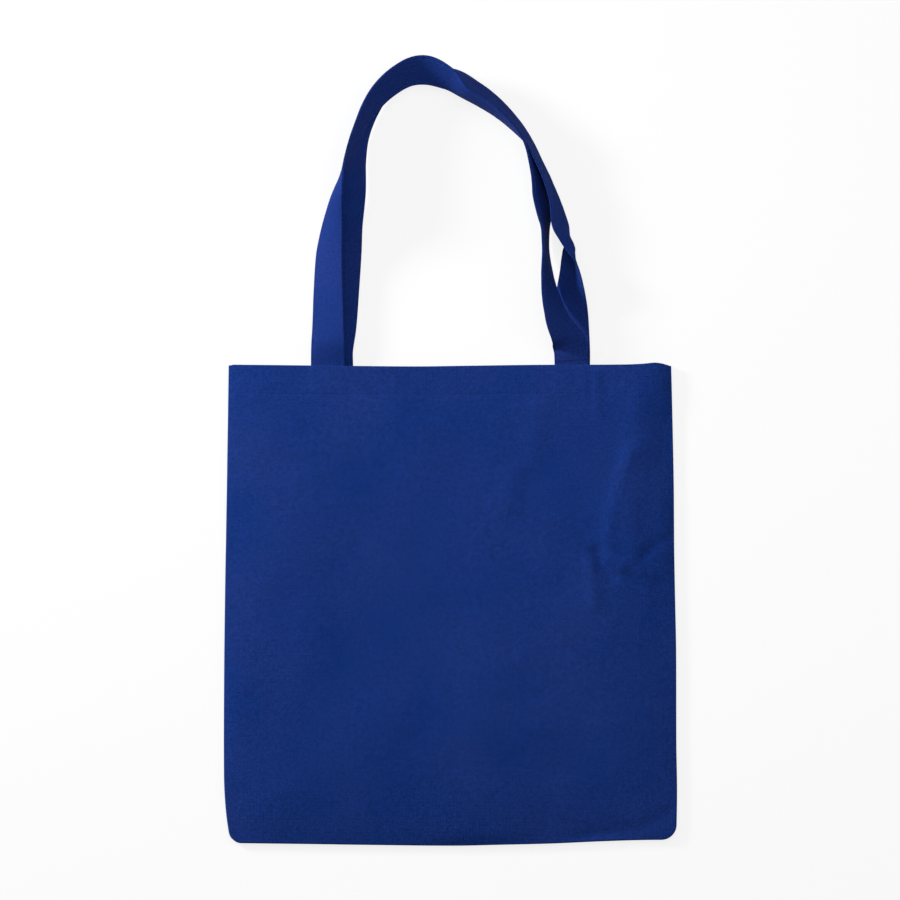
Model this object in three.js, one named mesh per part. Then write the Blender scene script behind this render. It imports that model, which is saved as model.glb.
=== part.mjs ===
import * as THREE from 'three';

// A flat tote bag of non-woven cloth, lying on its back with its two handles thrown out above the mouth.
// Sizes are in millimetres. X runs across the bag, +Y from its bottom to its handles, and Z up from the
// surface that it lies on. The origin is the middle of the underside of the back panel.

// Cloth
const clothThickness = 0.5;
const layerGap = 0.3;            // air between two layers of cloth that lie on each other
const layerPitch = clothThickness + layerGap;

// Body: two panels, sewn together along the sides and the bottom and turned right side out
const bagWidth = 380;
const bagHeight = 400;
const hemDepth = 28;             // the mouth's edge, folded to the inside and sewn down
const hemInset = 2;              // the folded hem is this much narrower at each end than the mouth
const seamAllowance = 8;         // cloth beyond the seam, inside the bag
const edgeRoll = 1.2;            // how far the cloth bulges out as it turns round the seam
const leftCornerRadius = 10;
const rightCornerRadius = 15;

// How the front panel stands off the back one
const puff = 5.5;
const sideReach = 55;            // the puff is full this far in from each side
const bottomReach = 40;          // and this far up from the bottom

// How far each edge wanders in from a true rectangle, as [share of the way along the edge, millimetres].
// The sides run from the bottom up, the bottom and the mouth from left to right.
const leftWander = [[0, 5], [0.12, 1.7], [0.28, 0], [0.6, 1.3], [1, 3.4]];
const rightWander = [[0, 0], [0.25, 0], [0.5, 1.7], [0.78, 4.2], [1, 6.7]];
const bottomWander = [[0, 2.4], [0.3, 0.9], [0.55, 0], [0.8, 1.9], [1, 5]];
const mouthWander = [[0, 0], [0.2, 0.8], [0.45, 0.8], [0.75, -0.6], [0.94, -3.4], [1, 0]];

// Creases pressed into the front panel by folding, down its right side. Each follows points given as
// [distance in from the right side, distance down from the mouth].
const creases = [
  { path: [[41, 73], [46, 93], [55, 130], [58, 144], [51, 166]], height: 1.8, width: 10 },
  { path: [[66, 158], [60, 176], [46, 180]], height: -1.7, width: 9 },
  { path: [[30, 40], [33, 80]], height: 0.8, width: 14 },
  { path: [[117, 40], [119, 73], [138, 90]], height: 0.7, width: 12 },
  { path: [[30, 165], [14, 150]], height: -1.0, width: 8 },
  { path: [[6, 380], [28, 387], [80, 396]], height: -1.0, width: 7 },
];
const cornerLift = { fromRight: 18, belowMouth: 12, height: 2.2, radius: 26 };

// Handles: two straps of cloth folded to a narrow band, each sewn inside the hem at both ends
const strapWidth = 28.6;
const strapThickness = 1.6;
const strapTuck = 27;            // length of strap inside the mouth

// Each strap's route. x is measured from the bag's middle and y from its mouth, in millimetres. The lift
// is how high the strap's lower edge stands over the ground, in strap widths. The roll is the turn about
// the strap's own length in degrees: at 0 it lies flat, at 90 or -90 it stands on one edge. The bow is
// how far the middle of the strap bulges from a flat band, in millimetres.
const frontRoute = [
  [-103.3, 34.6, 0.14, 24, 0],
  [-102.9, 64, 0.02, 34, 0.5],
  [-101.8, 95, 0.03, 45, 1],
  [-98.6, 122, 0.2, 60, 2.5],
  [-91, 146, 0.54, 86, 4.5],
  [-84, 173, 0.6, 107, 2],
  [-75.3, 202.5, 0.47, 108, 0],
  [-60.6, 227.4, 0.44, 119, 0],
  [-40.8, 243, 0.48, 135, 0],
  [-22.5, 248, 0.51, 145, 0],
  [-3, 241, 0.39, 128, -0.5],
  [11.5, 230.3, 0.27, 112, -1.5],
  [28.1, 220.5, 0.22, 108, -2],
  [41, 210.5, 0.18, 104, -2],
  [54.6, 195.4, 0.11, 95, -1],
  [66.4, 175.2, 0.03, 83, 0],
  [71.6, 156.5, 0.02, 73, 0],
  [75, 138, 0.02, 70, 0],
  [78.7, 116, 0.02, 79, 0],
  [79.7, 93.4, 0.04, 78, 0],
  [82, 68, 0.14, 67, 0],
  [88.2, 45.5, 0.25, 51, 0],
  [94.5, 30.4, 0.24, 43, 0],
];
const backRoute = [
  [-93.8, 34.6, 0.02, -3, 0],
  [-91.6, 64, 0.02, -4, 0],
  [-89.6, 95, 0.02, -5, 0],
  [-88.4, 122, 0.02, -6, 0],
  [-84.4, 147, 0.02, -30, 0],
  [-79.9, 173, 0.02, -56, 0],
  [-74.5, 200, 0.02, -61, 0],
  [-63, 226, 0.02, -64, 0],
  [-43, 243, 0.02, -66, 0],
  [-20, 251.5, 0.02, -66, 0],
  [1.5, 247, 0.02, -86, 0],
  [21.9, 234.3, 0.02, -101, 0],
  [38.7, 221.8, 0.02, -99, 0],
  [54.3, 205.2, 0.02, -97, 0],
  [65.8, 187.9, 0.02, -100, 0],
  [73.3, 171.4, 0.02, -104, 0],
  [79.9, 154.7, 0.02, -106, 0],
  [85.7, 137.7, 0.02, -110.5, 0],
  [89.9, 120.9, 0.02, -117, 0],
  [93.4, 112, 0.02, -113, -2],
  [95.5, 104, 0.02, -98, -6],
  [96.8, 97, 0.02, -82, -6.5],
  [98.2, 90, 0.02, -69, -5],
  [99.1, 82.5, 0.02, -59, -3],
  [99.5, 74, 0.02, -50, -1.5],
  [99.9, 63, 0.02, -38, 0],
  [101, 38, 0.02, -8, 0],
];
const frontLegs = { left: -103.4, right: 101.4 };
const backLegs = { left: -96.7, right: 102.6 };
const legRise = 14;              // the straps still lie as at the mouth this far beyond it

// Spacing of the grid lines that the sheets are made on
const edgeLines = [0, 3, 7, 12, 18];
const frontPitch = 14;
const backPitch = 40;
const strapSteps = 3;            // between two points of a strap's route
const strapShares = [-1, -0.5, 0, 0.5, 1];   // where the points across a strap lie, in half widths

// Heights of the middle of each layer, from the ground up
const backSheetHeight = clothThickness / 2;
const backSeamHeight = backSheetHeight + 2 * layerPitch;
const frontSeamHeight = backSeamHeight + layerPitch;
const frontEdgeHeight = frontSeamHeight + 2 * layerPitch;

const halfWidth = bagWidth / 2;
const halfHeight = bagHeight / 2;
const clothColour = 0x1b3578;
const strapColour = 0x1d3370;
const clothRoughness = 0.85;
const strapRoughness = 0.8;

// Value of a smooth curve through [share, value] stops
function along(stops, share) {
  let i = 1;
  while (i < stops.length - 1 && share > stops[i][0]) i += 1;
  const [s0, v0] = stops[i - 1];
  const [s1, v1] = stops[i];
  const slopeAt = (k) => {
    const before = stops[Math.max(k - 1, 0)];
    const after = stops[Math.min(k + 1, stops.length - 1)];
    return (after[1] - before[1]) / (after[0] - before[0]);
  };
  const t = (share - s0) / (s1 - s0);
  const run = s1 - s0;
  const eased = t * t * (3 - 2 * t);
  const leave = t * (1 - t) * (1 - t) * run * slopeAt(i - 1);
  const arrive = t * t * (t - 1) * run * slopeAt(i);
  return v0 + (v1 - v0) * eased + leave + arrive;
}

const leftEdge = (v) => -halfWidth + edgeRoll + along(leftWander, v);
const rightEdge = (v) => halfWidth - edgeRoll - along(rightWander, v);
const bottomEdge = (u) => -halfHeight + edgeRoll + along(bottomWander, u);
const mouthEdge = (u) => halfHeight - along(mouthWander, u);

// Pulls the square corner of a sheet in to a round one. a and b are the distances from the two edges.
function roundCorner(a, b, radius) {
  const p = Math.max(radius - a, 0);
  const q = Math.max(radius - b, 0);
  const diagonal = Math.hypot(p, q);
  if (diagonal === 0) return [0, 0];
  const shrink = 1 - Math.max(p, q) / diagonal;
  return [p * shrink, q * shrink];
}

// Place in plan of the point at shares u across and v up the panel
function planPoint(u, v) {
  const left = leftEdge(v);
  const right = rightEdge(v);
  const bottom = bottomEdge(u);
  const x = left + (right - left) * u;
  const y = bottom + (mouthEdge(u) - bottom) * v;
  const [leftIn, leftUp] = roundCorner(x - left, y - bottom, leftCornerRadius);
  const [rightIn, rightUp] = roundCorner(right - x, y - bottom, rightCornerRadius);
  return [x + leftIn - rightIn, y + leftUp + rightUp];
}

// Distance from a point to a line drawn through several points
function distanceToPath(x, y, path) {
  let nearest = Infinity;
  for (let i = 1; i < path.length; i += 1) {
    const [ax, ay] = path[i - 1];
    const [bx, by] = path[i];
    const length = (bx - ax) ** 2 + (by - ay) ** 2;
    const t = THREE.MathUtils.clamp(((x - ax) * (bx - ax) + (y - ay) * (by - ay)) / length, 0, 1);
    nearest = Math.min(nearest, Math.hypot(x - ax - t * (bx - ax), y - ay - t * (by - ay)));
  }
  return nearest;
}

// Share of the full puff at a distance in from an edge
const rise = (distance, reach) => 1 - (1 - THREE.MathUtils.clamp(distance / reach, 0, 1)) ** 3;

// Height of the middle of the front panel's cloth
function frontHeight(x, y) {
  const u = THREE.MathUtils.clamp((x + halfWidth) / bagWidth, 0, 1);
  const v = THREE.MathUtils.clamp((y + halfHeight) / bagHeight, 0, 1);
  const fromSide = Math.min(x - leftEdge(v), rightEdge(v) - x);
  const fromBottom = y - bottomEdge(u);
  const fullness = rise(fromSide, sideReach) * rise(fromBottom, bottomReach);
  const inFromRight = halfWidth - x;
  const downFromMouth = halfHeight - y;
  let height = frontEdgeHeight + puff * fullness;
  for (const crease of creases) {
    const distance = distanceToPath(inFromRight, downFromMouth, crease.path);
    const fade = Math.min(1, rise(fromSide, crease.width) * rise(fromBottom, crease.width));
    height += crease.height * fade * Math.exp(-((distance / crease.width) ** 2));
  }
  const toCorner = Math.hypot(inFromRight - cornerLift.fromRight, downFromMouth - cornerLift.belowMouth);
  return height + cornerLift.height * Math.exp(-((toCorner / cornerLift.radius) ** 2));
}

const backHeight = () => backSheetHeight;

// Grid lines from 0 to 1 across a length: close together at both ends, evenly spaced between
function gridLines(length, pitch) {
  const inner = length - 2 * edgeLines.at(-1);
  const count = Math.round(inner / pitch);
  const middle = Array.from({ length: count - 1 }, (_, i) => edgeLines.at(-1) + (inner * (i + 1)) / count);
  const ends = edgeLines.map((line) => length - line).reverse();
  return [...edgeLines, ...middle, ...ends].map((line) => line / length);
}

// Adds a strip of cloth to a sheet along a run of its edge points. place(k, row) gives the strip's points.
function addStrip(sheet, edge, rowCount, place) {
  let previous = edge;
  for (let row = 1; row <= rowCount; row += 1) {
    const current = edge.map((_, k) => sheet.points.push(place(k, row)) - 1);
    for (let k = 1; k < edge.length; k += 1) {
      sheet.faces.push([previous[k], previous[k - 1], current[k - 1]]);
      sheet.faces.push([previous[k], current[k - 1], current[k]]);
    }
    previous = current;
  }
}

// Gives a sheet its thickness, half to each side, and closes it round its free edges
function thicken({ points, faces }, thickness) {
  const normals = points.map(() => new THREE.Vector3());
  const openEdges = new Map();
  for (const face of faces) {
    const [a, b, c] = face.map((k) => points[k]);
    const normal = b.clone().sub(a).cross(c.clone().sub(a));
    face.forEach((k, corner) => {
      normals[k].add(normal);
      const next = face[(corner + 1) % 3];
      if (!openEdges.delete(`${next},${k}`)) openEdges.set(`${k},${next}`, [k, next]);
    });
  }
  const shifted = (side) => points.map((p, k) => {
    return p.clone().addScaledVector(normals[k].clone().normalize(), (side * thickness) / 2);
  });
  const vertices = [...shifted(1), ...shifted(-1)].flatMap((p) => [p.x, p.y, p.z]);
  const count = points.length;
  const index = [];
  for (const [a, b, c] of faces) index.push(a, b, c, c + count, b + count, a + count);
  for (const [a, b] of openEdges.values()) index.push(b, a, a + count, b, a + count, b + count);
  const geometry = new THREE.BufferGeometry();
  geometry.setAttribute('position', new THREE.Float32BufferAttribute(vertices, 3));
  geometry.setIndex(index);
  geometry.computeVertexNormals();
  return geometry;
}

// One panel: its sheet, the hem folded inside at the mouth, and the seam allowance turned inside along
// the sides and the bottom. inward is -1 where the inside of the bag lies below the sheet, and 1 above.
function panel(sheetHeight, seamHeight, inward, pitch) {
  const across = gridLines(bagWidth, pitch);
  const up = gridLines(bagHeight, pitch);
  const columns = across.length;
  const rows = up.length;
  const at = (i, j) => j * columns + i;
  const sheet = { points: [], faces: [] };
  for (const v of up) {
    for (const u of across) {
      const [x, y] = planPoint(u, v);
      sheet.points.push(new THREE.Vector3(x, y, sheetHeight(x, y)));
    }
  }
  for (let j = 1; j < rows; j += 1) {
    for (let i = 1; i < columns; i += 1) {
      sheet.faces.push([at(i - 1, j - 1), at(i, j - 1), at(i, j)]);
      sheet.faces.push([at(i - 1, j - 1), at(i, j), at(i - 1, j)]);
    }
  }
  addSeamAllowance(sheet, seamEdge(at, columns, rows), seamHeight);
  addHem(sheet, mouthRow(at, columns, rows), sheetHeight, inward);
  return thicken(sheet, clothThickness);
}

// Edge points from the mouth's left end, down and round the bottom, to its right end
function seamEdge(at, columns, rows) {
  const left = Array.from({ length: rows }, (_, k) => at(0, rows - 1 - k));
  const bottom = Array.from({ length: columns - 2 }, (_, k) => at(k + 1, 0));
  const right = Array.from({ length: rows }, (_, k) => at(columns - 1, k));
  return [...left, ...bottom, ...right];
}

// Edge points of the mouth, from right to left
function mouthRow(at, columns, rows) {
  return Array.from({ length: columns }, (_, k) => at(columns - 1 - k, rows - 1));
}

// The cloth rolls round the seam in a half turn, then lies flat inside the bag
function addSeamAllowance(sheet, edge, seamHeight) {
  const outward = edge.map((_, k) => {
    const before = sheet.points[edge[Math.max(k - 1, 0)]];
    const after = sheet.points[edge[Math.min(k + 1, edge.length - 1)]];
    const run = after.clone().sub(before).setZ(0).normalize();
    return new THREE.Vector3(run.y, -run.x, 0);
  });
  addStrip(sheet, edge, 3, (k, row) => {
    const start = sheet.points[edge[k]];
    const middle = (start.z + seamHeight) / 2;
    const reach = [edgeRoll, 0, -seamAllowance][row - 1];
    const height = [middle, seamHeight, seamHeight][row - 1];
    return start.clone().addScaledVector(outward[k], reach).setZ(height);
  });
}

// The hem folds over at the mouth and follows the sheet back on the inside
function addHem(sheet, edge, sheetHeight, inward) {
  const narrow = 1 - hemInset / halfWidth;
  addStrip(sheet, edge, 3, (k, row) => {
    const start = sheet.points[edge[k]];
    const x = start.x * narrow;
    const y = start.y + [layerPitch / 2, 0, -hemDepth][row - 1];
    const depth = [layerPitch / 2, layerPitch, layerPitch][row - 1];
    return new THREE.Vector3(x, y, sheetHeight(x, Math.min(y, start.y)) + inward * depth);
  });
}

// Height of a flat strap's lowest face where it is sewn under the front hem
function frontTuckLift(x, y) {
  const under = [-strapWidth / 2, 0, strapWidth / 2].map((side) => frontHeight(x + side, y));
  return Math.min(...under) - layerPitch - clothThickness / 2 - layerGap - strapThickness;
}

// The same for a strap that lies on the back hem
const backTuckLift = () => backSheetHeight + layerPitch + clothThickness / 2 + layerGap;

// A strap's full route: its tucked end, its leg at the mouth, the free loop, and the other leg and end
function wholeRoute(loop, legs, tuckLift) {
  const legAt = (x, y) => [x, halfHeight + y, tuckLift(x, halfHeight) / strapWidth, 0, 0];
  const free = loop.map(([x, y, ...pose]) => [x, halfHeight + y, ...pose]);
  const [left, right] = [legs.left, legs.right];
  return [
    ...[-strapTuck, 0, legRise / 2, legRise].map((y) => legAt(left, y)),
    ...free,
    ...[legRise, legRise / 2, 0, -strapTuck].map((y) => legAt(right, y)),
  ];
}

// Points across a strap at one place on its route, from its left edge to its right one
function strapSection(place, forward, degrees, bow) {
  const roll = THREE.MathUtils.degToRad(degrees);
  const right = new THREE.Vector3(forward.y, -forward.x, 0);
  const widthwise = right.clone().multiplyScalar(Math.cos(roll)).setZ(Math.sin(roll));
  const facing = right.clone().multiplyScalar(-Math.sin(roll)).setZ(Math.cos(roll));
  const half = strapWidth / 2 - (4 * bow * bow) / (3 * strapWidth);
  const stand = half * Math.abs(Math.sin(roll)) + (strapThickness / 2) * Math.abs(Math.cos(roll));
  const centre = place.clone().setZ(place.z + stand);
  return strapShares.map((share) => {
    const point = centre.clone().addScaledVector(widthwise, share * half);
    return point.addScaledVector(facing, bow * (1 - share * share));
  });
}

// A strap swept along its stations
function strap(stations) {
  const count = (stations.length - 1) * strapSteps;
  const curveOf = (pick) => new THREE.CatmullRomCurve3(stations.map(pick), false, 'catmullrom', 0.5);
  const route = curveOf(([x, y, lift]) => new THREE.Vector3(x, y, lift * strapWidth));
  const pose = curveOf(([, , , roll, bow]) => new THREE.Vector3(roll, bow, 0));
  const sheet = { points: [], faces: [] };
  for (let k = 0; k <= count; k += 1) {
    const forward = route.getTangent(k / count).setZ(0).normalize();
    const { x: degrees, y: bow } = pose.getPoint(k / count);
    sheet.points.push(...strapSection(route.getPoint(k / count), forward, degrees, bow));
  }
  for (let k = 1; k <= count; k += 1) {
    for (let i = 1; i < strapShares.length; i += 1) {
      const [a, b] = [(k - 1) * strapShares.length + i - 1, k * strapShares.length + i - 1];
      sheet.faces.push([a, a + 1, b + 1]);
      sheet.faces.push([a, b + 1, b]);
    }
  }
  return thicken(sheet, strapThickness);
}

function clothPiece(name, geometry, colour, roughness) {
  const material = new THREE.MeshStandardMaterial({ color: colour, roughness, metalness: 0 });
  const mesh = new THREE.Mesh(geometry, material);
  mesh.name = name;
  return mesh;
}

const frontPanel = panel(frontHeight, frontSeamHeight, -1, frontPitch);
const backPanel = panel(backHeight, backSeamHeight, 1, backPitch);
const frontHandle = strap(wholeRoute(frontRoute, frontLegs, frontTuckLift));
const backHandle = strap(wholeRoute(backRoute, backLegs, backTuckLift));

const bag = new THREE.Group();
bag.add(clothPiece('front_panel', frontPanel, clothColour, clothRoughness));
bag.add(clothPiece('back_panel', backPanel, clothColour, clothRoughness));
bag.add(clothPiece('front_handle', frontHandle, strapColour, strapRoughness));
bag.add(clothPiece('back_handle', backHandle, strapColour, strapRoughness));

export default bag;
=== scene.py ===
import math

import bpy
import numpy as np
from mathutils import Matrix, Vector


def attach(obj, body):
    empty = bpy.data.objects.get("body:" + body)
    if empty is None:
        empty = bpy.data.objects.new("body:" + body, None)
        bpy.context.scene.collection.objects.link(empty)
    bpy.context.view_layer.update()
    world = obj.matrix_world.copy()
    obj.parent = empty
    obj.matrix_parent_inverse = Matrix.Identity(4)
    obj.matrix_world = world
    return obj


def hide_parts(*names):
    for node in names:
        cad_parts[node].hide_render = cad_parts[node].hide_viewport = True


# A flat non-woven tote lying on its back. Lengths in the settings are millimetres.
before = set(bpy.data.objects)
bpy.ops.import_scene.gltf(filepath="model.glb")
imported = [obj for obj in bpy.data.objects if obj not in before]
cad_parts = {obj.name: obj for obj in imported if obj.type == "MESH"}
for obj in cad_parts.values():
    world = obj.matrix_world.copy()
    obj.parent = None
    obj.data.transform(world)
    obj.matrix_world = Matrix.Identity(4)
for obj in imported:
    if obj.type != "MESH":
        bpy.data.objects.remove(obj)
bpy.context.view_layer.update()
toMetres = 0.001

# Camera

cameraSettings = {
    "pixelSize": 0.8407,         # of the bag's front, in the picture
    "pixels": 900,
    "centre": (-0.84, 129.5),
    "level": 8,                  # height at which the pixel size holds
    "distance": 6000,
    "sensor": 36,
    "reach": 100000,
}


def makeCamera(s):
    data = bpy.data.cameras.new("camera")
    data.sensor_width = s["sensor"]
    data.lens = s["sensor"] * s["distance"] / (s["pixels"] * s["pixelSize"])
    data.clip_end = s["reach"] * toMetres
    camera = bpy.data.objects.new("camera", data)
    x, y = s["centre"]
    camera.location = (x * toMetres, y * toMetres, (s["level"] + s["distance"]) * toMetres)
    bpy.context.collection.objects.link(camera)
    bpy.context.scene.camera = camera


makeCamera(cameraSettings)
print("camera placed")

# Curves and smooth noise shared by all the pieces


def along(stops, share):
    places = np.array([stop[0] for stop in stops], float)
    values = np.array([stop[1] for stop in stops], float)
    before = np.maximum(np.arange(len(stops)) - 1, 0)
    after = np.minimum(np.arange(len(stops)) + 1, len(stops) - 1)
    slopes = (values[after] - values[before]) / (places[after] - places[before])
    i = np.clip(np.searchsorted(places, share), 1, len(stops) - 1)
    run = places[i] - places[i - 1]
    t = (share - places[i - 1]) / run
    eased = t * t * (3 - 2 * t)
    leave = t * (1 - t) ** 2 * run * slopes[i - 1]
    arrive = t * t * (t - 1) * run * slopes[i]
    return values[i - 1] + (values[i] - values[i - 1]) * eased + leave + arrive


noiseGrid = {"cells": 64, "shift": (31.7, 17.3)}


def smoothNoise(x, y, size, seed):
    cells = noiseGrid["cells"]
    table = np.random.default_rng(seed).uniform(-1, 1, (cells, cells))
    gx, gy = x / size + noiseGrid["shift"][0], y / size + noiseGrid["shift"][1]
    ix, iy = np.floor(gx).astype(int), np.floor(gy).astype(int)
    fx, fy = gx - ix, gy - iy
    fx, fy = fx ** 3 * (fx * (fx * 6 - 15) + 10), fy ** 3 * (fy * (fy * 6 - 15) + 10)

    def corner(a, b):
        return table[(ix + a) % cells, (iy + b) % cells]

    low = corner(0, 0) * (1 - fx) + corner(1, 0) * fx
    high = corner(0, 1) * (1 - fx) + corner(1, 1) * fx
    return low * (1 - fy) + high * fy


def distanceToPath(x, y, path):
    nearest = np.full(np.shape(x), np.inf)
    for (ax, ay), (bx, by) in zip(path, path[1:]):
        dx, dy = bx - ax, by - ay
        t = np.clip(((x - ax) * dx + (y - ay) * dy) / (dx * dx + dy * dy), 0, 1)
        nearest = np.minimum(nearest, np.hypot(x - ax - t * dx, y - ay - t * dy))
    return nearest


def bell(distance, width):
    return np.exp(-((distance / width) ** 2))


# Body

cloth = {"thickness": 0.5, "gap": 0.3}
layerPitch = cloth["thickness"] + cloth["gap"]

body = {
    "width": 380,
    "height": 400,
    "hemDepth": 28,
    "hemInset": 2,
    "seamAllowance": 8,
    "edgeRoll": 1.2,
    "leftCornerRadius": 7.5,
    "rightCornerRadius": 11,
    "puff": 5.5,                 # of the front over the back
    "sideReach": 80,             # the puff rises over these
    "bottomReach": 100,
    # Each wander's stops: share of the edge's length, millimetres inwards
    "leftWander": [
        [0, 4.6], [0.045, 1.7], [0.09, 0], [0.14, -0.8], [0.3, -0.8], [0.5, 0], [0.72, 1.5],
        [1, 3.2],
    ],
    "rightWander": [
        [0, 0.6], [0.1, 0], [0.2, 0.6], [0.4, 0.8], [0.5, 1.6], [0.61, 2.4], [0.75, 2.8],
        [0.9, 4], [1, 5],
    ],
    "bottomWander": [
        [0, -1], [0.17, -1.8], [0.3, -2.5], [0.5, -3.2], [0.61, -2.4], [0.72, -1.4],
        [0.83, 0.4], [0.92, 1.5], [1, 1.8],
    ],
    "mouthWander": [
        [0, -0.7], [0.1, -0.3], [0.2, 0.1], [0.42, 0.8], [0.55, 0.2], [0.7, -0.5], [0.9, -0.8],
        [0.945, -1.5], [0.972, -2.4], [0.99, -1.5], [1, -0.2],
    ],
    "edgeLines": [0, 0.7, 1.6, 2.8, 4.4, 6.2, 8.2, 10.4, 12.8, 15.4, 18],
    "pitch": 2.1,                # of the grid between the edge lines
    "rollSteps": 8,
    "allowanceSteps": 4,
    "hemTurnSteps": 5,
    "hemSteps": 10,
}
halfWidth, halfHeight = body["width"] / 2, body["height"] / 2

# Folds pressed into the front. Paths are [in from the right side, down from the mouth].
folds = [
    {
        "path": [[41, 73], [46, 93], [55, 120], [59, 144], [55, 160], [47, 168]],
        "height": 1.7,
        "width": 6.5,
    },
    {"path": [[30, 70], [34, 95], [43, 120], [46, 144], [40, 160]], "height": 1.5, "width": 14},
    {"path": [[67, 156], [63, 168], [54, 177]], "height": -2.2, "width": 5},
    {"path": [[73, 168], [69, 198]], "height": 1.4, "width": 6.5},
    {"path": [[84, 190], [104, 186]], "height": -0.4, "width": 10},
    {"path": [[68, 4], [66, 44]], "height": 0.7, "width": 4},
    {"path": [[30, 40], [33, 72]], "height": 1.0, "width": 12},
    {"path": [[117, 36], [119, 73], [138, 92], [142, 118]], "height": 1.0, "width": 10},
    {"path": [[28, 160], [18, 150], [8, 146]], "height": -1.1, "width": 5},
    {"path": [[30, 172], [20, 176]], "height": 1.0, "width": 5},
    {"path": [[6, 376], [28, 388], [80, 397]], "height": -0.8, "width": 6},
    {"path": [[372, 20], [352, 22]], "height": 0.8, "width": 8},
    {"path": [[300, 78], [318, 150], [312, 210]], "height": 0.8, "width": 22},
    {"path": [[38, 168], [26, 182], [22, 196]], "height": 0.6, "width": 5},
    {"path": [[38, 30], [40, 120], [34, 150]], "height": 0.6, "width": 9},
    {"path": [[160, 120], [150, 240], [168, 320]], "height": 0.8, "width": 24},
    {"path": [[250, 290], [180, 310], [100, 300]], "height": 0.8, "width": 26},
]
cornerLift = {"fromRight": 18, "belowMouth": 12, "height": 2.2, "radius": 26}

# Finer relief that lies on the folds. Waves: size, height, seed.
relief = {
    "stitchLine": 24.5,          # below the mouth
    "stitchDip": 0.5,
    "stitchDipWidth": 0.9,
    "pucker": 0.14,
    "puckerLength": 7,
    "puckerReach": 6,
    "puckerDrift": 2.5,
    "puckerDriftSize": 30,
    "puckerSeed": 8,
    "strapPrint": 0.6,           # the straps' ends show through the hem
    "strapPrintEdge": 1.3,
    "quietEdge": 14,             # the relief fades towards the seams over this
    "waves": [(78, 1.3, 3), (31, 0.42, 4), (12, 0.1, 5), (5, 0.03, 6)],
}


def leftEdge(v):
    return -halfWidth + body["edgeRoll"] + along(body["leftWander"], v)


def rightEdge(v):
    return halfWidth - body["edgeRoll"] - along(body["rightWander"], v)


def bottomEdge(u):
    return -halfHeight + body["edgeRoll"] + along(body["bottomWander"], u)


def mouthEdge(u):
    return halfHeight - along(body["mouthWander"], u)


def roundCorner(a, b, radius):
    p, q = np.maximum(radius - a, 0), np.maximum(radius - b, 0)
    diagonal = np.hypot(p, q)
    shrink = 1 - np.maximum(p, q) / np.maximum(diagonal, 1e-9)
    return p * shrink, q * shrink


def planPoint(u, v):
    left, right, bottom = leftEdge(v), rightEdge(v), bottomEdge(u)
    x = left + (right - left) * u
    y = bottom + (mouthEdge(u) - bottom) * v
    leftIn, leftUp = roundCorner(x - left, y - bottom, body["leftCornerRadius"])
    rightIn, rightUp = roundCorner(right - x, y - bottom, body["rightCornerRadius"])
    return x + leftIn - rightIn, y + leftUp + rightUp


def rise(distance, reach):
    return 1 - (1 - np.clip(distance / reach, 0, 1)) ** 3


backSheetHeight = cloth["thickness"] / 2
backSeamHeight = backSheetHeight + 2 * layerPitch
frontSeamHeight = backSeamHeight + layerPitch
frontEdgeHeight = frontSeamHeight + 2 * layerPitch


def edgeDistances(x, y):
    u = np.clip((x + halfWidth) / body["width"], 0, 1)
    v = np.clip((y + halfHeight) / body["height"], 0, 1)
    return np.minimum(x - leftEdge(v), rightEdge(v) - x), y - bottomEdge(u)


def frontHeight(x, y):
    fromSide, fromBottom = edgeDistances(x, y)
    puff = rise(fromSide, body["sideReach"]) * rise(fromBottom, body["bottomReach"])
    height = frontEdgeHeight + body["puff"] * puff
    fromRight, fromMouth = halfWidth - x, halfHeight - y
    for fold in folds:
        distance = distanceToPath(fromRight, fromMouth, fold["path"])
        fade = rise(fromSide, fold["width"]) * rise(fromBottom, fold["width"])
        height = height + fold["height"] * fade * bell(distance, fold["width"])
    s = cornerLift
    toCorner = np.hypot(fromRight - s["fromRight"], fromMouth - s["belowMouth"])
    return height + s["height"] * bell(toCorner, s["radius"])


def hemRelief(x, fromMouth, s):
    line = np.abs(fromMouth - s["stitchLine"])
    dip = -s["stitchDip"] * bell(line, s["stitchDipWidth"])
    drift = s["puckerDrift"] * smoothNoise(x, x * 0, s["puckerDriftSize"], s["puckerSeed"])
    wave = np.sin(2 * math.pi * x / s["puckerLength"] + drift)
    return dip + s["pucker"] * wave * bell(line, s["puckerReach"])


def softStep(distance):
    return 1 / (1 + np.exp(-2 * distance))


def frontRelief(x, y):
    s = relief
    fromSide, fromBottom = edgeDistances(x, y)
    quiet = rise(fromSide, s["quietEdge"]) * rise(fromBottom, s["quietEdge"])
    fromMouth = halfHeight - y
    extra = hemRelief(x, fromMouth, s)
    for size, height, seed in s["waves"]:
        extra = extra + height * smoothNoise(x, y, size, seed)
    for leg in frontLegs:
        across = softStep((straps["width"] / 2 - np.abs(x - leg)) / s["strapPrintEdge"])
        down = softStep((s["stitchLine"] - fromMouth) / s["strapPrintEdge"])
        extra = extra + s["strapPrint"] * across * down
    return extra * quiet


def frontSurface(x, y):
    return frontHeight(x, y) + frontRelief(x, y)


def backSurface(x, y):
    return np.full(np.shape(x), backSheetHeight)


def gridLines(length):
    edge = body["edgeLines"]
    inner = length - 2 * edge[-1]
    count = round(inner / body["pitch"])
    middle = [edge[-1] + inner * (i + 1) / count for i in range(count - 1)]
    return np.array(edge + middle + [length - line for line in reversed(edge)]) / length


class Sheet:
    def __init__(self):
        self.points = np.zeros((0, 3))
        self.quads = []

    def addPoints(self, xyz):
        first = len(self.points)
        self.points = np.vstack([self.points, xyz])
        return np.arange(first, first + len(xyz))

    def addStrip(self, edge, rows):
        previous = edge
        for row in rows:
            current = self.addPoints(row)
            for k in range(1, len(edge)):
                self.quads.append((previous[k], previous[k - 1], current[k - 1], current[k]))
            previous = current


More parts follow.
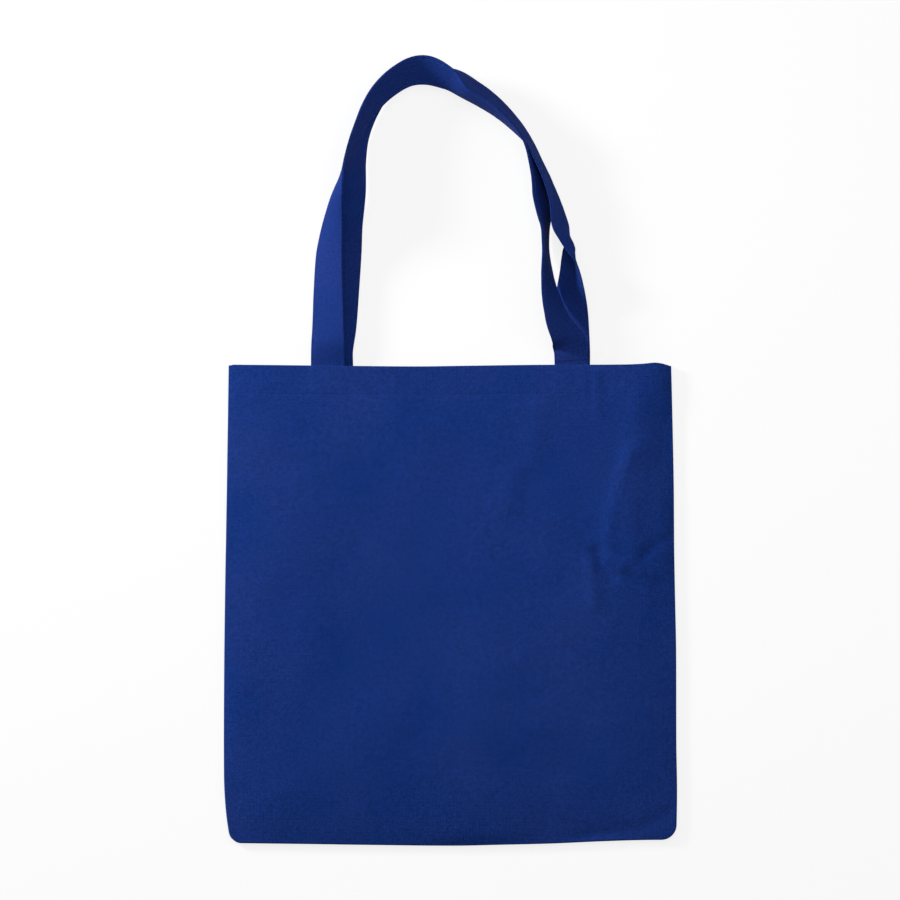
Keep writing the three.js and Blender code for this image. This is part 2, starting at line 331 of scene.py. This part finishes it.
def closeSheet(sheet, thickness):
    points, quads = sheet.points, np.array(sheet.quads)
    a, b, c, d = (points[quads[:, k]] for k in range(4))
    facing = np.cross(c - a, d - b)
    normals = np.zeros_like(points)
    for k in range(4):
        np.add.at(normals, quads[:, k], facing)
    normals /= np.linalg.norm(normals, axis=1, keepdims=True)
    openEdges = {}
    for quad in quads.tolist():
        for k in range(4):
            one, two = quad[k], quad[(k + 1) % 4]
            if openEdges.pop((two, one), None) is None:
                openEdges[(one, two)] = True
    count = len(points)
    upper, lower = points + normals * thickness / 2, points - normals * thickness / 2
    faces = quads.tolist() + [[q + count for q in reversed(quad)] for quad in quads.tolist()]
    faces += [[two, one, one + count, two + count] for one, two in openEdges]
    return np.vstack([upper, lower]), faces


def makeMesh(name, points, faces, material):
    mesh = bpy.data.meshes.new(name)
    mesh.from_pydata((points * toMetres).tolist(), [], faces)
    mesh.polygons.foreach_set("use_smooth", [True] * len(mesh.polygons))
    mesh.materials.append(material)
    mesh.update()
    piece = bpy.data.objects.new(name, mesh)
    bpy.context.collection.objects.link(piece)
    return piece


def seamRows(sheet, edge, seamHeight):
    places = sheet.points[edge]
    before = places[np.maximum(np.arange(len(edge)) - 1, 0)]
    after = places[np.minimum(np.arange(len(edge)) + 1, len(edge) - 1)]
    run = (after - before)[:, :2]
    run /= np.linalg.norm(run, axis=1, keepdims=True)
    outward = np.stack([run[:, 1], -run[:, 0]], axis=1)
    middle = (places[:, 2] + seamHeight) / 2
    half = (places[:, 2] - seamHeight) / 2
    rows = []
    for step in range(1, body["rollSteps"] + 1):
        angle = math.pi * step / body["rollSteps"]
        rows.append((body["edgeRoll"] * math.sin(angle), middle + half * math.cos(angle)))
    level = np.full(len(edge), float(seamHeight))
    for step in range(1, body["allowanceSteps"] + 1):
        rows.append((-body["seamAllowance"] * step / body["allowanceSteps"], level))
    return [np.column_stack([places[:, :2] + outward * reach, height]) for reach, height in rows]


def hemRows(sheet, edge, surface, inward):
    places = sheet.points[edge]
    x = places[:, 0] * (1 - body["hemInset"] / halfWidth)
    rows = []
    for step in range(1, body["hemTurnSteps"] + 1):
        angle = math.pi * step / body["hemTurnSteps"]
        rows.append((layerPitch / 2 * math.sin(angle), layerPitch / 2 * (1 - math.cos(angle))))
    for step in range(1, body["hemSteps"] + 1):
        rows.append((-body["hemDepth"] * step / body["hemSteps"], layerPitch))
    made = []
    for reach, depth in rows:
        y = places[:, 1] + reach
        height = surface(x, np.minimum(y, places[:, 1])) + inward * depth
        made.append(np.column_stack([x, y, height]))
    return made


def makePanel(name, surface, seamHeight, inward, material):
    across, up = gridLines(body["width"]), gridLines(body["height"])
    u, v = np.meshgrid(across, up)
    x, y = planPoint(u, v)
    sheet = Sheet()
    grid = sheet.addPoints(np.column_stack([x.ravel(), y.ravel(), surface(x, y).ravel()]))
    grid = grid.reshape(len(up), len(across))
    corners = [grid[:-1, :-1], grid[:-1, 1:], grid[1:, 1:], grid[1:, :-1]]
    sheet.quads = [tuple(quad) for quad in np.stack([c.ravel() for c in corners], axis=1)]
    edge = np.concatenate([grid[::-1, 0], grid[0, 1:-1], grid[:, -1]])
    sheet.addStrip(edge, seamRows(sheet, edge, seamHeight))
    sheet.addStrip(grid[-1, ::-1], hemRows(sheet, grid[-1, ::-1], surface, inward))
    points, faces = closeSheet(sheet, cloth["thickness"])
    return makeMesh(name, points, faces, material)


# Straps

# Waves: size, height, seed
straps = {
    "width": 28.6,
    "thickness": 1.6,
    "tuck": 27,                  # the ends reach this far below the mouth
    "steps": 11,                 # sections between two stations
    "stitchInset": 2.9,          # from each edge
    "stitchDip": 0.22,
    "threadDepth": 0.132,        # the thread's middle lies this far in
    "waves": [(34, 0.35, 21), (13, 0.12, 22), (5.5, 0.05, 23)],
    "quietEnds": 40,             # the waves fade towards both ends
    "quietFade": 20,
    "quietShare": 0.15,
    "seedShift": 50,             # sets the two straps' waves apart
    "seeds": {"front": 1, "back": 2},
}
frontLegs = (-103.4, 101.4)
backLegs = (-96.7, 102.6)

# Stations: x, y from the mouth, lift of the lower edge in strap widths, roll in degrees, bow
frontRoute = [
    [-103.3, 34.6, 0.14, 22, 0],
    [-103.2, 64, 0.04, 30, 0.5],
    [-102.3, 95, 0.03, 40, 1],
    [-98.8, 122, 0.2, 55, 2],
    [-94.4, 146, 0.54, 74, 3],
    [-84.8, 173, 0.6, 106, 2],
    [-75.3, 202.5, 0.47, 108, 0],
    [-60.2, 227, 0.44, 125, 0],
    [-40.8, 243, 0.48, 135, 0],
    [-22.5, 248, 0.51, 145, 0],
    [-3, 241, 0.39, 128, -0.5],
    [11, 229.6, 0.36, 107, -1.5],
    [27.6, 220, 0.34, 104, -1.5],
    [41.7, 209.8, 0.3, 100, -1],
    [56.1, 195.8, 0.2, 94, -0.5],
    [63.6, 185, 0.09, 84, 0.5],
    [68.6, 175, 0.04, 74, 1],
    [71.6, 165, 0.02, 70, 1],
    [73.8, 154.8, 0.02, 67, 1],
    [75.2, 144.7, 0.02, 64, 1],
    [77, 134.6, 0.02, 65, 1],
    [78.8, 124.5, 0.02, 69, 0.5],
    [79.3, 114.4, 0.02, 78, 0],
    [79.5, 97, 0.04, 80, 0],
    [80.8, 78, 0.1, 71, 0],
    [82.2, 67, 0.16, 65, 0],
    [83.6, 60, 0.2, 60, 0],
    [85.2, 53, 0.24, 56, 0],
    [87, 46.5, 0.26, 53, 0],
    [89, 40, 0.27, 48, 0],
    [91.8, 33.5, 0.27, 42, 0],
    [95, 28, 0.26, 33, 0],
    [97.6, 23.5, 0.26, 19, 0],
]
backRoute = [
    [-93.8, 34.6, 0.02, -3, 0],
    [-91.6, 64, 0.02, -4, 0],
    [-89.6, 95, 0.02, -5, 0],
    [-88.4, 122, 0.02, -6, 0],
    [-84.4, 147, 0.02, -30, 0],
    [-79.9, 173, 0.02, -56, 0],
    [-74.5, 200, 0.02, -61, 0],
    [-62.5, 225.5, 0.02, -60, 0],
    [-43, 243, 0.02, -66, 0],
    [-20, 251.5, 0.02, -66, 0],
    [1.2, 246.4, 0.02, -104, 0],
    [21.2, 233, 0.02, -113, 0],
    [38.3, 220.9, 0.02, -110, 0],
    [53.7, 204.6, 0.02, -107, 0],
    [65.4, 187.7, 0.02, -104, 0],
    [73.9, 171.6, 0.02, -101, 0],
    [81.5, 155, 0.02, -102, 0],
    [87.3, 138, 0.02, -108, 0],
    [90.9, 121.5, 0.02, -118, 0],
    [93.6, 112, 0.02, -115, -3],
    [94.7, 104, 0.02, -101, -7],
    [95.6, 97, 0.02, -84, -8.5],
    [97.5, 90, 0.02, -69, -6.5],
    [99.3, 82.5, 0.02, -59, -4],
    [100.2, 74, 0.02, -50, -2],
    [100.6, 63, 0.02, -38, 0],
    [101.6, 38, 0.02, -10, 0],
]


def frontTuckLift(x, y):
    half = straps["width"] / 2
    under = [float(frontHeight(np.float64(x + side), np.float64(y))) for side in (-half, 0, half)]
    return min(under) - layerPitch - cloth["thickness"] / 2 - cloth["gap"] - straps["thickness"]


def backTuckLift(x, y):
    return backSheetHeight + layerPitch + cloth["thickness"] / 2 + cloth["gap"]


# Each leg leaves the hem: up from the mouth, sideways, share of lift added, roll
legRises = {
    "frontLeft": [[0, 0, 0, 0], [9, 0, 0.01, 4], [20, 0, 0, 13]],
    "frontRight": [[0, 0, 0, 0], [6, -0.1, 0.03, -2], [13, -0.6, 0.06, -5], [18.5, -1.9, 0.05, 3]],
    "backLeft": [[0, 0, 0, 0], [14, 0, 0, -1]],
    "backRight": [[0, 0, 0, 0], [14, 0, 0, -2]],
}


def legStations(x, rises, tuckLift):
    level = tuckLift(x, halfHeight) / straps["width"]
    hidden = [x, halfHeight - straps["tuck"], level, 0, 0]
    shown = [[x + side, halfHeight + y, level + more, roll, 0] for y, side, more, roll in rises]
    return [hidden] + shown


def wholeRoute(loop, legs, rises, tuckLift):
    start = legStations(legs[0], legRises[rises[0]], tuckLift)
    end = legStations(legs[1], legRises[rises[1]], tuckLift)
    free = [[x, halfHeight + y, *pose] for x, y, *pose in loop]
    return start + free + end[::-1]


def throughStations(stations, steps):
    p = np.array(stations, float)
    p = np.vstack([2 * p[0] - p[1], p, 2 * p[-1] - p[-2]])
    count = len(p) - 3
    s = np.arange(count * steps + 1) / steps
    i = np.minimum(s.astype(int), count - 1)
    t = (s - i)[:, None]
    a, b, c, d = p[i], p[i + 1], p[i + 2], p[i + 3]
    leave, arrive = (c - a) / 2, (d - b) / 2
    cubic = 2 * b - 2 * c + leave + arrive
    square = 3 * c - 3 * b - 2 * leave - arrive
    place = cubic * t ** 3 + square * t ** 2 + leave * t + b
    slope = 3 * cubic * t ** 2 + 2 * square * t + leave
    return place, slope


def strapFrames(stations):
    w, thick = straps["width"], straps["thickness"]
    place, slope = throughStations(stations, straps["steps"])
    forward = slope[:, :2] / np.linalg.norm(slope[:, :2], axis=1, keepdims=True)
    roll, bow = np.radians(place[:, 3]), place[:, 4]
    half = w / 2 - 4 * bow * bow / (3 * w)
    stand = half * np.abs(np.sin(roll)) + thick / 2 * np.abs(np.cos(roll))
    centre = np.column_stack([place[:, 0], place[:, 1], place[:, 2] * w + stand])
    right = np.column_stack([forward[:, 1], -forward[:, 0], np.zeros(len(roll))])
    up = np.array([[0, 0, 1.0]])
    widthwise = right * np.cos(roll)[:, None] + up * np.sin(roll)[:, None]
    facing = -right * np.sin(roll)[:, None] + up * np.cos(roll)[:, None]
    run = np.concatenate([[0], np.cumsum(np.linalg.norm(np.diff(centre, axis=0), axis=1))])
    return {
        "centre": centre,
        "widthwise": widthwise,
        "facing": facing,
        "half": half,
        "bow": bow,
        "run": run,
    }


def strapPoint(f, across, offset, seed):
    s = straps
    share = across / (s["width"] / 2)
    run = f["run"]
    start = run + seed * s["seedShift"]
    wave = 0
    for size, height, table in s["waves"]:
        wave = wave + height * smoothNoise(start, run * 0 + across, size, table)
    fromEnds = np.minimum(run, run[-1] - run) - s["quietEnds"]
    quiet = np.clip(fromEnds / s["quietFade"], s["quietShare"], 1)
    lift = f["bow"] * (1 - np.minimum(share * share, 1)) + offset + wave * quiet
    sideways = f["widthwise"] * (share * f["half"])[:, None]
    return f["centre"] + sideways + f["facing"] * lift[:, None]


# Points of a strap's section. Each edge: [out, up] from its top to its middle.
section = {
    "rim": [0.9, 1.7],           # in from the edge
    "besideStitch": [-0.6, 0, 0.6, 1.6, 3.4],
    "inner": [4.6, 1.5],         # out from the middle
    "foldedEdge": [[-0.3, 0.704], [0, 0.4], [0.08, 0]],
    "layeredEdge": [[0, 0.74], [0.05, 0.5], [0, 0.36], [-0.5, 0.27], [-0.1, 0.18], [0, 0]],
}


def downAgain(points):
    return points + [[out, -up] for out, up in reversed(points[:-1])]


def strapProfile():
    half, top = straps["width"] / 2, straps["thickness"] / 2
    line = half - straps["stitchInset"]
    face = [half - inset for inset in section["rim"]]
    face += [line - inset for inset in section["besideStitch"]] + section["inner"]
    upper = [(x, top - (straps["stitchDip"] if x == line else 0)) for x in face]
    upper += [(-x, t) for x, t in reversed(upper)]
    lower = [(x, -t) for x, t in reversed(upper)]
    fold = [(-half - out, up) for out, up in downAgain(section["foldedEdge"])]
    layers = [(half + out, -up) for out, up in downAgain(section["layeredEdge"])]
    return upper + fold + lower + layers


def makeStrap(name, stations, seed, material):
    f = strapFrames(stations)
    profile = strapProfile()
    rows = np.stack([strapPoint(f, a, t, seed) for a, t in profile], axis=1)
    sections, n = rows.shape[:2]
    faces = []
    for k in range(sections - 1):
        for i in range(n):
            j = (i + 1) % n
            faces.append([k * n + i, k * n + j, (k + 1) * n + j, (k + 1) * n + i])
    faces += [list(range(n))[::-1], [(sections - 1) * n + i for i in range(n)]]
    piece = makeMesh(name, rows.reshape(-1, 3), faces, material)
    uv = piece.data.uv_layers.new(name="strapUv")
    lengths = [f["run"][k] * toMetres for k in range(sections)]
    around = [a * toMetres for a, _ in profile]
    values = []
    for polygon in piece.data.polygons:
        for vertex in polygon.vertices:
            values += [lengths[vertex // n], around[vertex % n]]
    uv.data.foreach_set("uv", values)
    return piece, f


# Materials


def newMaterial(name):
    material = bpy.data.materials.new(name)
    material.use_nodes = True
    nodes, links = material.node_tree.nodes, material.node_tree.links
    nodes.clear()
    output = nodes.new("ShaderNodeOutputMaterial")
    shader = nodes.new("ShaderNodeBsdfPrincipled")
    links.new(shader.outputs["BSDF"], output.inputs["Surface"])
    return material, nodes, links, shader


# A noise: scale, detail, roughness, distortion
clothLook = {
    "fibre": (0.0070, 0.0325, 0.188),
    "bond": (0.0022, 0.0165, 0.106),
    # Painted sheen: a paler, redder colour mixed in at random patches, standing in for the cloth's
    # glancing sheen
    "paintedSheen": (0.0270, 0.0440, 0.200),
    "paintedSheenShare": 0.28,           # most that the painted sheen shows
    "paintedSheenBetween": (0.14, 0.4),
    "cloud": 0.26,               # how much the colour drifts
    "cloudBetween": (0.3, 0.7),
    "bondPitch": 1.7,
    "bondDepth": 0.2,
    "bondEdge": (0.16, 0.34),    # in shares of the pitch
    "bondTurn": 45,
    "fibreHeight": 0.45,         # in shares of the bonds' depth
    "bump": 0.85,
    "roughness": 0.8,
    "bondRoughness": 0.58,
    "sheen": 0.01,
    "sheenRoughness": 0.6,
    "sheenTint": (0.75, 0.6, 1, 1),
    "specular": 0.01,
    "fibres": (1900, 4, 0.5, 0.8),
    "clouds": (440, 5, 0.6, 0),
    "patches": (14, 2, 0.5, 0),
    "specks": (620, 3, 0.5, 0),
}
strapLook = {
    **clothLook,
    "fibre": (0.0075, 0.0295, 0.174),
    "bond": (0.0025, 0.0150, 0.098),
    # The straps' painted sheen colour
    "paintedSheen": (0.0300, 0.0400, 0.180),
}
# A mix node has sockets for every kind of value: these are the ones for colour
mixSocket = {"share": 0, "low": 6, "high": 7, "result": 2}


def addNoise(nodes, links, coordinates, settings):
    noise = nodes.new("ShaderNodeTexNoise")
    for name, value in zip(("Scale", "Detail", "Roughness", "Distortion"), settings):
        noise.inputs[name].default_value = value
    links.new(coordinates, noise.inputs["Vector"])
    return noise.outputs["Fac"]


def addRange(nodes, links, value, before, after, kind="LINEAR"):
    node = nodes.new("ShaderNodeMapRange")
    node.interpolation_type = kind
    for name, number in zip(("From Min", "From Max", "To Min", "To Max"), (*before, *after)):
        node.inputs[name].default_value = number
    links.new(value, node.inputs["Value"])
    return node.outputs["Result"]


def addMix(nodes, links, share, low, high):
    node = nodes.new("ShaderNodeMix")
    node.data_type = "RGBA"
    links.new(share, node.inputs[mixSocket["share"]])
    for name, colour in (("low", low), ("high", high)):
        socket = node.inputs[mixSocket[name]]
        if isinstance(colour, tuple):
            socket.default_value = (*colour, 1)
        else:
            links.new(colour, socket)
    return node.outputs[mixSocket["result"]]


def addMath(nodes, links, operation, *values):
    node = nodes.new("ShaderNodeMath")
    node.operation = operation
    for socket, value in zip(node.inputs, values):
        if isinstance(value, (int, float)):
            socket.default_value = value
        else:
            links.new(value, socket)
    return node.outputs["Value"]


def addBump(nodes, links, shader, height, strength, depth):
    bump = nodes.new("ShaderNodeBump")
    bump.inputs["Strength"].default_value = strength
    bump.inputs["Distance"].default_value = depth * toMetres
    links.new(height, bump.inputs["Height"])
    links.new(bump.outputs["Normal"], shader.inputs["Normal"])


def addBonds(nodes, links, coordinates, look):
    turn = nodes.new("ShaderNodeMapping")
    turn.inputs["Rotation"].default_value = (0, 0, math.radians(look["bondTurn"]))
    links.new(coordinates, turn.inputs["Vector"])
    bonds = nodes.new("ShaderNodeTexVoronoi")
    bonds.voronoi_dimensions = "2D"
    bonds.distance = "CHEBYCHEV"
    bonds.inputs["Scale"].default_value = 1 / (look["bondPitch"] * toMetres)
    bonds.inputs["Randomness"].default_value = 0
    links.new(turn.outputs["Vector"], bonds.inputs["Vector"])
    distance = bonds.outputs["Distance"]
    return addRange(nodes, links, distance, look["bondEdge"], (0, 1), "SMOOTHSTEP")


def makeCloth(name, look, uvName=None):
    material, nodes, links, shader = newMaterial(name)
    if uvName:
        source = nodes.new("ShaderNodeUVMap")
        source.uv_map = uvName
        coordinates = source.outputs["UV"]
    else:
        coordinates = nodes.new("ShaderNodeTexCoord").outputs["Object"]
    dots = addBonds(nodes, links, coordinates, look)
    fibres, clouds, patches, specks = (
        addNoise(nodes, links, coordinates, look[kind])
        for kind in ("fibres", "clouds", "patches", "specks")
    )
    # Painted sheen: the paler sheen colour is mixed in where the patch and speck noises are both
    # high
    both = addMath(nodes, links, "MULTIPLY", patches, specks)
    paintedSheenShare = addRange(nodes, links, both, look["paintedSheenBetween"], (0, look["paintedSheenShare"]))
    plain = addMix(nodes, links, dots, look["bond"], look["fibre"])
    paintedSheen = addMix(nodes, links, paintedSheenShare, plain, look["paintedSheen"])
    drift = (1 - look["cloud"], 1 + look["cloud"])
    tinted = nodes.new("ShaderNodeVectorMath")
    tinted.operation = "SCALE"
    links.new(paintedSheen, tinted.inputs[0])
    amount = addRange(nodes, links, clouds, look["cloudBetween"], drift)
    links.new(amount, tinted.inputs["Scale"])
    links.new(tinted.outputs["Vector"], shader.inputs["Base Color"])
    rough = addRange(nodes, links, dots, (0, 1), (look["bondRoughness"], look["roughness"]))
    links.new(rough, shader.inputs["Roughness"])
    height = addMath(nodes, links, "MULTIPLY_ADD", fibres, look["fibreHeight"], dots)
    addBump(nodes, links, shader, height, look["bump"], look["bondDepth"])
    shader.inputs["Specular IOR Level"].default_value = look["specular"]
    shader.inputs["Sheen Weight"].default_value = look["sheen"]
    shader.inputs["Sheen Roughness"].default_value = look["sheenRoughness"]
    shader.inputs["Sheen Tint"].default_value = look["sheenTint"]
    return material


threadLook = {
    "colour": (0.016, 0.045, 0.24),
    "shades": (0.7, 1.3),
    "roughness": 0.75,
    "sheen": 0.01,
    "specular": 0.06,
    "twist": (5200, 2, 0.5, 0),
    "bump": 0.5,
    "bumpDepth": 0.08,
}


def makeThreadMaterial(look):
    material, nodes, links, shader = newMaterial("thread")
    coordinates = nodes.new("ShaderNodeTexCoord").outputs["Object"]
    twist = addNoise(nodes, links, coordinates, look["twist"])
    addBump(nodes, links, shader, twist, look["bump"], look["bumpDepth"])
    dark, light = (tuple(c * shade for c in look["colour"]) for shade in look["shades"])
    links.new(addMix(nodes, links, twist, dark, light), shader.inputs["Base Color"])
    shader.inputs["Roughness"].default_value = look["roughness"]
    shader.inputs["Specular IOR Level"].default_value = look["specular"]
    shader.inputs["Sheen Weight"].default_value = look["sheen"]
    return material


bagCloth = makeCloth("bagCloth", clothLook)
strapCloth = makeCloth("strapCloth", strapLook, "strapUv")
thread = makeThreadMaterial(threadLook)
print("materials made")

# Stitches follow a line of edges. Sides and rings are of one stitch, and the hem's lifts are
# from the middle of its sheet.

stitching = {
    "pitch": 3.1,
    "length": 2.5,
    "radius": 0.27,
    "seed": 7,
    "sides": 8,
    "rings": 6,
    "varies": (0.9, 1.1),
    "hemLevel": 0.94,            # share of the bag's height at which the line meets the sides
    "hemFromSide": 2.5,
    "hemPoints": 400,
    "frontHemLift": 0.23,
    "backHemLift": -0.01,
}
# A random value has sockets for every kind of value: these are the ones for a float
randomSocket = {"low": 2, "high": 3, "result": 1}


def addSocket(tree, name, kind):
    return tree.interface.new_socket(name, in_out="INPUT", socket_type=kind).identifier


def stitchTree(threadMaterial, s):
    tree = bpy.data.node_groups.new("stitchesAlongALine", "GeometryNodeTree")
    addSocket(tree, "Geometry", "NodeSocketGeometry")
    tree.interface.new_socket("Geometry", in_out="OUTPUT", socket_type="NodeSocketGeometry")
    names = {
        "pitch": addSocket(tree, "Stitch pitch", "NodeSocketFloat"),
        "length": addSocket(tree, "Stitch length", "NodeSocketFloat"),
        "radius": addSocket(tree, "Thread radius", "NodeSocketFloat"),
        "seed": addSocket(tree, "Seed", "NodeSocketInt"),
    }
    nodes, links = tree.nodes, tree.links
    group = nodes.new("NodeGroupInput")
    output = nodes.new("NodeGroupOutput")
    curve = nodes.new("GeometryNodeMeshToCurve")
    links.new(group.outputs["Geometry"], curve.inputs["Mesh"])
    resample = nodes.new("GeometryNodeResampleCurve")
    resample.mode = "LENGTH"
    links.new(curve.outputs["Curve"], resample.inputs["Curve"])
    links.new(group.outputs["Stitch pitch"], resample.inputs["Length"])
    ball = nodes.new("GeometryNodeMeshUVSphere")
    ball.inputs["Segments"].default_value = s["sides"]
    ball.inputs["Rings"].default_value = s["rings"]
    ball.inputs["Radius"].default_value = 1
    halfLength = addMath(nodes, links, "MULTIPLY", group.outputs["Stitch length"], 0.5)
    size = nodes.new("ShaderNodeCombineXYZ")
    links.new(group.outputs["Thread radius"], size.inputs["X"])
    links.new(group.outputs["Thread radius"], size.inputs["Y"])
    links.new(halfLength, size.inputs["Z"])
    tangent = nodes.new("GeometryNodeInputTangent")
    align = nodes.new("FunctionNodeAlignRotationToVector")
    align.axis = "Z"
    links.new(tangent.outputs["Tangent"], align.inputs["Vector"])
    jitter = nodes.new("FunctionNodeRandomValue")
    jitter.data_type = "FLOAT"
    jitter.inputs[randomSocket["low"]].default_value = s["varies"][0]
    jitter.inputs[randomSocket["high"]].default_value = s["varies"][1]
    links.new(group.outputs["Seed"], jitter.inputs["Seed"])
    place = nodes.new("GeometryNodeInstanceOnPoints")
    links.new(resample.outputs["Curve"], place.inputs["Points"])
    links.new(ball.outputs["Mesh"], place.inputs["Instance"])
    links.new(align.outputs["Rotation"], place.inputs["Rotation"])
    scaled = nodes.new("ShaderNodeVectorMath")
    scaled.operation = "SCALE"
    links.new(size.outputs["Vector"], scaled.inputs[0])
    links.new(jitter.outputs[randomSocket["result"]], scaled.inputs["Scale"])
    links.new(scaled.outputs["Vector"], place.inputs["Scale"])
    realize = nodes.new("GeometryNodeRealizeInstances")
    links.new(place.outputs["Instances"], realize.inputs["Geometry"])
    finish = nodes.new("GeometryNodeSetMaterial")
    finish.inputs["Material"].default_value = threadMaterial
    links.new(realize.outputs["Geometry"], finish.inputs["Geometry"])
    links.new(finish.outputs["Geometry"], output.inputs["Geometry"])
    return tree, names


def makeStitches(name, lines, tree, names):
    points, edges = [], []
    for line in lines:
        first = len(points)
        points += [tuple(p) for p in np.asarray(line) * toMetres]
        edges += [(first + k, first + k + 1) for k in range(len(line) - 1)]
    mesh = bpy.data.meshes.new(name + "_line")
    mesh.from_pydata(points, edges, [])
    piece = bpy.data.objects.new(name, mesh)
    bpy.context.collection.objects.link(piece)
    modifier = piece.modifiers.new("stitches", "NODES")
    modifier.node_group = tree
    for key in ("pitch", "length", "radius"):
        modifier[names[key]] = stitching[key] * toMetres
    modifier[names["seed"]] = stitching["seed"]
    depsgraph = bpy.context.evaluated_depsgraph_get()
    made = bpy.data.meshes.new_from_object(piece.evaluated_get(depsgraph), depsgraph=depsgraph)
    piece.modifiers.clear()
    piece.data = made
    made.materials.clear()
    made.materials.append(thread)
    made.polygons.foreach_set("use_smooth", [True] * len(made.polygons))
    return piece


def hemLine(surface, lift, s):
    level, inset = s["hemLevel"], s["hemFromSide"]
    x = np.linspace(leftEdge(level) + inset, rightEdge(level) - inset, s["hemPoints"])
    y = np.full(len(x), halfHeight - relief["stitchLine"])
    y = y - along(body["mouthWander"], (x + halfWidth) / body["width"])
    return np.column_stack([x, y, surface(x, y) + lift])


def strapLines(f, seed):
    line = straps["width"] / 2 - straps["stitchInset"]
    height = straps["thickness"] / 2 - straps["threadDepth"]
    sides = (1, -1)
    return [strapPoint(f, side * line, face * height, seed) for side in sides for face in sides]


# The pieces

frontPanel = makePanel("frontPanel", frontSurface, frontSeamHeight, -1, bagCloth)
backPanel = makePanel("backPanel", backSurface, backSeamHeight, 1, bagCloth)
print("panels made", len(frontPanel.data.polygons), len(backPanel.data.polygons))

seeds = straps["seeds"]
frontStations = wholeRoute(frontRoute, frontLegs, ("frontLeft", "frontRight"), frontTuckLift)
backStations = wholeRoute(backRoute, backLegs, ("backLeft", "backRight"), backTuckLift)
frontStrap, frontFrames = makeStrap("frontStrap", frontStations, seeds["front"], strapCloth)
backStrap, backFrames = makeStrap("backStrap", backStations, seeds["back"], strapCloth)
print("straps made", len(frontStrap.data.polygons), len(backStrap.data.polygons))

tree, sockets = stitchTree(thread, stitching)
frontHemLine = hemLine(frontSurface, stitching["frontHemLift"], stitching)
backHemLine = hemLine(backSurface, stitching["backHemLift"], stitching)
frontStrapLines = strapLines(frontFrames, seeds["front"])
backStrapLines = strapLines(backFrames, seeds["back"])
frontHemThread = makeStitches("frontHemThread", [frontHemLine], tree, sockets)
backHemThread = makeStitches("backHemThread", [backHemLine], tree, sockets)
frontStrapThread = makeStitches("frontStrapThread", frontStrapLines, tree, sockets)
backStrapThread = makeStitches("backStrapThread", backStrapLines, tree, sockets)
print("stitches made", len(frontHemThread.data.polygons), len(frontStrapThread.data.polygons))

# What each piece stands for
for piece, node, slot in (
    (frontPanel, "front_panel", "bag_cloth"),
    (backPanel, "back_panel", "bag_cloth"),
    (frontStrap, "front_handle", "strap_cloth"),
    (backStrap, "back_handle", "strap_cloth"),
):
    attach(piece, "root")
    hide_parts(node)
for piece, slot in (
    (frontHemThread, "bag_cloth"),
    (backHemThread, "bag_cloth"),
    (frontStrapThread, "strap_cloth"),
    (backStrapThread, "strap_cloth"),
):
    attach(piece, "root")

# Studio. The lights' places, targets and sizes are in metres.

studio = {
    "floorSize": 9000,
    "floorDrop": 0.6,
    "floorColour": (0.9, 0.9, 0.9, 1),
    "floorGlow": 0.82,           # share of the floor's colour that no shadow darkens
    "worldStrength": 0.2,
    "key": {"place": (-1.72, 1.02, 0.76), "target": (-0.02, 0.1, 0), "size": 0.45, "power": 54},
    "fill": {"place": (0.05, 0.5, 0.95), "target": (0, 0.1, 0), "size": 0.7, "power": 4.2},
    "side": {"place": (1.2, 0.1, 0.9), "target": (0.05, 0.25, 0), "size": 0.6, "power": 2.6},
}


def makeLight(name, s):
    data = bpy.data.lights.new(name, "AREA")
    data.shape = "DISK"
    data.size = s["size"]
    data.energy = s["power"]
    light = bpy.data.objects.new(name, data)
    light.location = s["place"]
    direction = Vector(s["target"]) - Vector(s["place"])
    light.rotation_euler = direction.to_track_quat("-Z", "Y").to_euler()
    bpy.context.collection.objects.link(light)


def makeFloor(s):
    half, level = s["floorSize"] / 2, -s["floorDrop"]
    outline = ((-half, -half), (half, -half), (half, half), (-half, half))
    corners = np.array([[x, y, level] for x, y in outline])
    material = bpy.data.materials.new("paper")
    material.use_nodes = True
    nodes, links = material.node_tree.nodes, material.node_tree.links
    nodes.clear()
    output = nodes.new("ShaderNodeOutputMaterial")
    plain = nodes.new("ShaderNodeBsdfDiffuse")
    plain.inputs["Color"].default_value = s["floorColour"]
    glow = nodes.new("ShaderNodeEmission")
    glow.inputs["Strength"].default_value = 1
    rays = nodes.new("ShaderNodeLightPath").outputs
    seen = addMath(nodes, links, "MAXIMUM", rays["Is Camera Ray"], rays["Is Glossy Ray"])
    seen = addMath(nodes, links, "MAXIMUM", seen, rays["Is Transmission Ray"])
    mix = nodes.new("ShaderNodeMixShader")
    links.new(addMath(nodes, links, "MULTIPLY", seen, s["floorGlow"]), mix.inputs["Fac"])
    links.new(plain.outputs["BSDF"], mix.inputs[1])
    links.new(glow.outputs["Emission"], mix.inputs[2])
    links.new(mix.outputs["Shader"], output.inputs["Surface"])
    floor = makeMesh("floor", corners, [[0, 1, 2, 3]], material)


def makeWorld(s):
    world = bpy.data.worlds.new("studio")
    bpy.context.scene.world = world
    world.use_nodes = True
    nodes, links = world.node_tree.nodes, world.node_tree.links
    background = nodes["Background"]
    rays = nodes.new("ShaderNodeLightPath").outputs
    level = addRange(nodes, links, rays["Is Camera Ray"], (0, 1), (s["worldStrength"], 1))
    links.new(level, background.inputs["Strength"])
    background.inputs["Color"].default_value = (1, 1, 1, 1)


for lightName in ("key", "fill", "side"):
    makeLight(lightName, studio[lightName])
makeFloor(studio)
makeWorld(studio)
bpy.context.scene.view_settings.view_transform = "Standard"
print("studio made")
